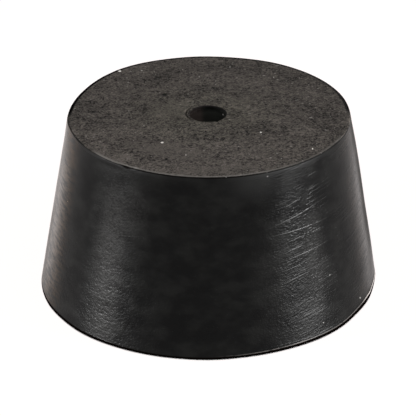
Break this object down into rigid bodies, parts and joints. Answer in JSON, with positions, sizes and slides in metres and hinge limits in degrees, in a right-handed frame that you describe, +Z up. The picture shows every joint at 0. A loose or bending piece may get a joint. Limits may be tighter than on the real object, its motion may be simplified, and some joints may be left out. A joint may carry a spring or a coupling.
{
  "type": "rubber stopper",
  "caption": "Tapered black rubber stopper with a hole down its axis: it closes the neck of a flask or bottle and grips a glass tube or thermometer.",
  "frame": {"origin": "middle of the large end, which the stopper stands on", "axes": "+Z up the hole, from the large end to the small end"},
  "size_m": [0.0464, 0.0464, 0.025],
  "materials": {
    "black_rubber": "satin ground side with fine slanted scratches, matt dusty end faces"
  },
  "bodies": {
    "root": {"stopper": "black_rubber"}
  },
  "joints": []
}
